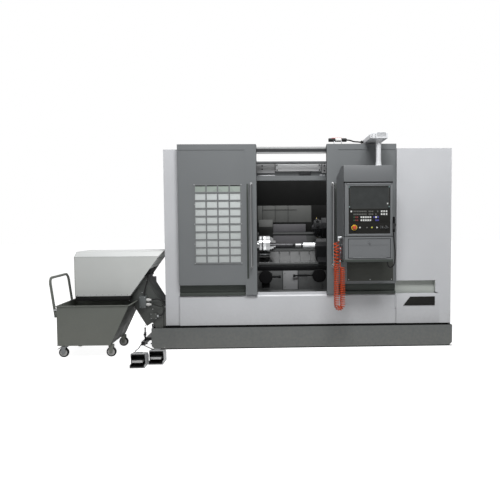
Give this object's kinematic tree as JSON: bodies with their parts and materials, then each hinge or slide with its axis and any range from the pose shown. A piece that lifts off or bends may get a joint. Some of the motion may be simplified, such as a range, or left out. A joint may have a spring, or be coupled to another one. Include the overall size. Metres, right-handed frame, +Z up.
{
  "type": "cnc turning lathe",
  "caption": "Slant-bed turning lathe with sliding doors, chuck, tailstock, tool turret, swinging operator pendant, coiled air hose, chip conveyor, chip cart and foot pedals.",
  "frame": {"origin": "middle of the coolant tank's underside, on the floor", "axes": "+X along the spindle from headstock to tailstock, +Y away from the operator, +Z up"},
  "size_m": [4.1999, 2.445, 2.274],
  "materials": {
    "tank_grey": "satin",
    "casting_grey": "painted",
    "cover_white": "satin",
    "door_grey": "satin",
    "dark_steel": "satin",
    "guard_grey": "brushed",
    "glass": "clear",
    "chrome": "polished",
    "ground_steel": "ground",
    "work_steel": "turned",
    "panel_black": "matt",
    "screen_dark": "gloss",
    "stop_red": "gloss",
    "hose_orange": "semi-gloss",
    "gun_red": "matt",
    "cable_black": "matt",
    "cart_green": "satin",
    "wheel_black": "matt",
    "zinc": "zinc plated",
    "hood_grey": "satin",
    "trunk_grey": "satin",
    "pedal_grey": "cast",
    "motor_blue": "painted"
  },
  "bodies": {
    "machine": {"coolant_tank": "tank_grey", "bed_casting": "casting_grey", "way_cover": "ground_steel", "apron_guard": "guard_grey", "left_enclosure": "cover_white", "right_enclosure": "cover_white", "rear_enclosure": "cover_white", "front_lower_cover": "cover_white", "door_top_rail": "ground_steel", "header_beam": "cover_white", "headstock": "casting_grey", "pendant_arm": "cover_white", "machine_lamp": "dark_steel", "conveyor_trunk": "trunk_grey", "conveyor_hood": "hood_grey", "conveyor_belt": "ground_steel", "conveyor_gearmotor": "motor_blue", "foot_rail": "dark_steel", "pedal_guards": "pedal_grey", "pedal_lead_1": "cable_black", "pedal_lead_2": "cable_black"},
    "left_door": {"left_door": "door_grey", "window_guard": "door_grey", "window_glass": "glass", "left_door_handle": "ground_steel"},
    "right_door": {"right_door": "door_grey", "right_door_handle": "ground_steel"},
    "pendant": {"pendant_housing": "door_grey", "operator_panel": "panel_black", "screen": "screen_dark", "keypad": "panel_black", "pulse_handset": "panel_black", "handset_cable": "cable_black", "air_hose": "hose_orange", "air_gun": "gun_red"},
    "document_door": {"document_door": "door_grey"},
    "e_stop": {"e_stop_button": "stop_red"},
    "feed_knob": {"feed_override_knob": "panel_black"},
    "spindle_knob": {"spindle_override_knob": "panel_black"},
    "spindle": {"spindle_chuck": "chrome", "workpiece": "work_steel"},
    "jaw_1": {"chuck_jaw_1": "ground_steel"},
    "jaw_2": {"chuck_jaw_2": "ground_steel"},
    "jaw_3": {"chuck_jaw_3": "ground_steel"},
    "tailstock": {"tailstock": "dark_steel"},
    "quill": {"quill": "chrome"},
    "live_centre": {"live_centre": "ground_steel"},
    "saddle": {"saddle": "casting_grey"},
    "cross_slide": {"cross_slide": "dark_steel"},
    "turret": {"turret_disc": "dark_steel"},
    "pedal_1": {"pedal_treadle_1": "pedal_grey"},
    "pedal_2": {"pedal_treadle_2": "pedal_grey"},
    "cart": {"cart_bin": "cart_green"},
    "caster_1": {"caster_fork_1": "zinc"},
    "caster_2": {"caster_fork_2": "zinc"},
    "wheel_1": {"cart_wheel_1": "wheel_black"},
    "wheel_2": {"cart_wheel_2": "wheel_black"},
    "wheel_3": {"cart_wheel_3": "wheel_black"},
    "wheel_4": {"cart_wheel_4": "wheel_black"},
    "conveyor_shaft": {"conveyor_drive_shaft": "ground_steel"}
  },
  "joints": [
    {"name": "left_door_slide", "type": "slide", "parent": "machine", "child": "left_door", "axis": [1, 0, 0], "range_m": [0, 0.37]},
    {"name": "right_door_slide", "type": "slide", "parent": "machine", "child": "right_door", "axis": [-1, 0, 0], "range_m": [0, 0.37]},
    {"name": "pendant_swivel", "type": "hinge", "parent": "machine", "child": "pendant", "pos_m": [0.77, -1.06, 1.9], "axis": [0, 0, 1], "range_deg": [0, 70]},
    {"name": "document_door_hinge", "type": "hinge", "parent": "pendant", "child": "document_door", "pos_m": [0.659, -1.1643, 0.985], "axis": [1, 0, 0], "range_deg": [0, 85]},
    {"name": "e_stop_press", "type": "slide", "parent": "pendant", "child": "e_stop", "axis": [0, 1, 0], "range_m": [0, 0.005], "stiffness_N_per_m": 600, "springref_m": -0.002},
    {"name": "feed_knob_turn", "type": "hinge", "parent": "pendant", "child": "feed_knob", "pos_m": [0.785, -1.165, 1.29], "axis": [0, 1, 0], "range_deg": [-135, 135]},
    {"name": "spindle_knob_turn", "type": "hinge", "parent": "pendant", "child": "spindle_knob", "pos_m": [0.831, -1.165, 1.29], "axis": [0, 1, 0], "range_deg": [-135, 135]},
    {"name": "spindle_spin", "type": "hinge", "parent": "machine", "child": "spindle", "pos_m": [-0.4, -0.24973, 1.07765], "axis": [1, 0, 0], "continuous": true},
    {"name": "jaw_1_travel", "type": "slide", "parent": "spindle", "child": "jaw_1", "axis": [0, 0, 1], "range_m": [0, 0.007]},
    {"name": "jaw_2_travel", "type": "slide", "parent": "spindle", "child": "jaw_2", "axis": [0, -0.866, -0.5], "range_m": [0, 0.007]},
    {"name": "jaw_3_travel", "type": "slide", "parent": "spindle", "child": "jaw_3", "axis": [0, 0.866, -0.5], "range_m": [0, 0.007]},
    {"name": "tailstock_slide", "type": "slide", "parent": "machine", "child": "tailstock", "axis": [1, 0, 0], "range_m": [0, 0.44]},
    {"name": "quill_slide", "type": "slide", "parent": "tailstock", "child": "quill", "axis": [1, 0, 0], "range_m": [0, 0.1]},
    {"name": "live_centre_spin", "type": "hinge", "parent": "quill", "child": "live_centre", "pos_m": [0, -0.24973, 1.07765], "axis": [1, 0, 0], "continuous": true},
    {"name": "saddle_slide", "type": "slide", "parent": "machine", "child": "saddle", "axis": [1, 0, 0], "range_m": [-0.45, 0.3]},
    {"name": "cross_slide_travel", "type": "slide", "parent": "saddle", "child": "cross_slide", "axis": [0, 0.866, 0.5], "range_m": [-0.2, 0.05]},
    {"name": "turret_index", "type": "hinge", "parent": "cross_slide", "child": "turret", "pos_m": [0.25, 0.09668, 1.27765], "axis": [1, 0, 0], "continuous": true},
    {"name": "pedal_1_press", "type": "hinge", "parent": "machine", "child": "pedal_1", "pos_m": [-1.6, -1.435, 0.04], "axis": [1, 0, 0], "range_deg": [0, 12], "stiffness_Nm_per_rad": 8, "springref_deg": -11.46},
    {"name": "pedal_2_press", "type": "hinge", "parent": "machine", "child": "pedal_2", "pos_m": [-1.452, -1.315, 0.04], "axis": [1, 0, 0], "range_deg": [0, 12], "stiffness_Nm_per_rad": 8, "springref_deg": -11.46},
    {"name": "cart_roll", "type": "slide", "parent": "machine", "child": "cart", "axis": [-1, 0, 0], "range_m": [0, 0.8]},
    {"name": "caster_1_swivel", "type": "hinge", "parent": "cart", "child": "caster_1", "pos_m": [-2.423, -1.118, 0.11], "axis": [0, 0, 1], "continuous": true},
    {"name": "caster_2_swivel", "type": "hinge", "parent": "cart", "child": "caster_2", "pos_m": [-2.423, -0.642, 0.11], "axis": [0, 0, 1], "continuous": true},
    {"name": "wheel_1_roll", "type": "hinge", "parent": "caster_1", "child": "wheel_1", "pos_m": [-2.445, -1.118, 0.05], "axis": [0, 1, 0], "continuous": true},
    {"name": "wheel_2_roll", "type": "hinge", "parent": "caster_2", "child": "wheel_2", "pos_m": [-2.445, -0.642, 0.05], "axis": [0, 1, 0], "continuous": true},
    {"name": "wheel_3_roll", "type": "hinge", "parent": "cart", "child": "wheel_3", "pos_m": [-1.968, -1.118, 0.05], "axis": [0, 1, 0], "continuous": true},
    {"name": "wheel_4_roll", "type": "hinge", "parent": "cart", "child": "wheel_4", "pos_m": [-1.968, -0.642, 0.05], "axis": [0, 1, 0], "continuous": true},
    {"name": "conveyor_shaft_spin", "type": "hinge", "parent": "machine", "child": "conveyor_shaft", "pos_m": [-1.74155, -0.6, 0.67518], "axis": [0, 1, 0], "continuous": true}
  ],
  "couplings": [
    {"joint": "jaw_2_travel", "follows": "jaw_1_travel", "ratio": 1},
    {"joint": "jaw_3_travel", "follows": "jaw_1_travel", "ratio": 1}
  ]
}
